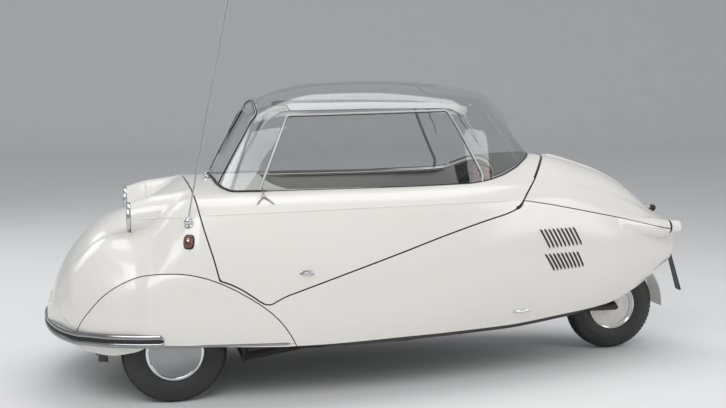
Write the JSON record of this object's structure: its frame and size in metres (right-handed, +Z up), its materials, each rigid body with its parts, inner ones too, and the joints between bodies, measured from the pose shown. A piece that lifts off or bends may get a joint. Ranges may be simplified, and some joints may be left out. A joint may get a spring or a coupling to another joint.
{
  "type": "three wheeled microcar",
  "caption": "Small three wheeled car with skirted front wheels, one rear wheel, tandem seats under a side-hinged clear dome, and a rear-hinged engine lid.",
  "frame": {"origin": "on the ground, midway along the car's length and width", "axes": "+X forwards, +Y to the car's left, +Z up"},
  "size_m": [3.0074, 1.2126, 1.8539],
  "materials": {
    "paint": "gloss ivory enamel",
    "clear": "clear acrylic",
    "bright_metal": "polished",
    "chrome": "polished",
    "lamp_lens": "ribbed",
    "dark_lens": "gloss",
    "tyre": "matt",
    "rim_paint": "gloss",
    "underside": "satin black",
    "black_trim": "satin",
    "seat_cover": "leathercloth",
    "engine": "cast",
    "plate": "blank"
  },
  "bodies": {
    "root": {"nose_shell": "paint", "right_side_panel": "paint", "rear_body_shell": "paint", "wheel_skirt_left": "paint", "wheel_skirt_right": "paint", "rear_mudguard": "paint", "front_bumper": "chrome", "side_catch": "chrome", "head_lamps": "chrome", "aerial": "chrome", "indicator_lamps": "dark_lens", "floor_pan": "underside", "rear_bulkhead": "underside", "front_bulkhead": "underside", "front_suspension": "underside", "rear_frame": "underside", "swing_arm": "underside", "silencer": "underside", "front_seat_frame": "underside", "rear_seat_frame": "underside", "steering_column": "black_trim", "pedals": "black_trim", "dashboard": "black_trim", "front_seat_cushion": "seat_cover", "front_seat_back": "seat_cover", "rear_seat_cushion": "seat_cover", "rear_seat_back": "seat_cover", "engine_block": "engine", "number_plate": "plate"},
    "canopy": {"canopy_frame": "paint", "windscreen_hoop": "bright_metal", "windscreen": "clear", "window_frames": "bright_metal", "side_windows": "clear", "roof_rails": "bright_metal", "roof_dome": "clear", "door_handle": "chrome"},
    "rear_lid": {"engine_lid": "paint", "tail_lamps": "lamp_lens"},
    "knuckle_left": {"knuckle_left": "underside"},
    "knuckle_right": {"knuckle_right": "underside"},
    "wheel_front_left": {"tyre_front_left": "tyre", "rim_front_left": "rim_paint", "hub_cap_front_left": "chrome"},
    "wheel_front_right": {"tyre_front_right": "tyre", "rim_front_right": "rim_paint", "hub_cap_front_right": "chrome"},
    "wheel_rear": {"tyre_rear": "tyre", "rim_rear": "rim_paint"},
    "handlebar": {"steering_bar": "black_trim"}
  },
  "joints": [
    {"name": "canopy_swing", "type": "hinge", "parent": "root", "child": "canopy", "pos_m": [0.35, -0.534, 0.778], "axis": [1, 0, 0], "range_deg": [0, 75]},
    {"name": "engine_lid_lift", "type": "hinge", "parent": "root", "child": "rear_lid", "pos_m": [-1.416, 0, 0.601], "axis": [0, -1, 0], "range_deg": [0, 50]},
    {"name": "steer_left", "type": "hinge", "parent": "root", "child": "knuckle_left", "pos_m": [0.98, 0.365, 0.2125], "axis": [0, 0, 1], "range_deg": [-22, 22]},
    {"name": "steer_right", "type": "hinge", "parent": "root", "child": "knuckle_right", "pos_m": [0.98, -0.365, 0.2125], "axis": [0, 0, 1], "range_deg": [-22.5, 22.5]},
    {"name": "handlebar_turn", "type": "hinge", "parent": "root", "child": "handlebar", "pos_m": [0.63218, 0, 0.65289], "axis": [-0.8102, 0, 0.5861], "range_deg": [-33.5, 33.5]},
    {"name": "wheel_front_left_spin", "type": "hinge", "parent": "knuckle_left", "child": "wheel_front_left", "pos_m": [0.98, 0.418, 0.2125], "axis": [0, 1, 0], "continuous": true},
    {"name": "wheel_front_right_spin", "type": "hinge", "parent": "knuckle_right", "child": "wheel_front_right", "pos_m": [0.98, -0.418, 0.2125], "axis": [0, 1, 0], "continuous": true},
    {"name": "wheel_rear_spin", "type": "hinge", "parent": "root", "child": "wheel_rear", "pos_m": [-1.12, 0, 0.2125], "axis": [0, 1, 0], "continuous": true}
  ],
  "couplings": [
    {"joint": "steer_right", "follows": "steer_left", "ratio": 1},
    {"joint": "handlebar_turn", "follows": "steer_left", "ratio": 1.5}
  ]
}
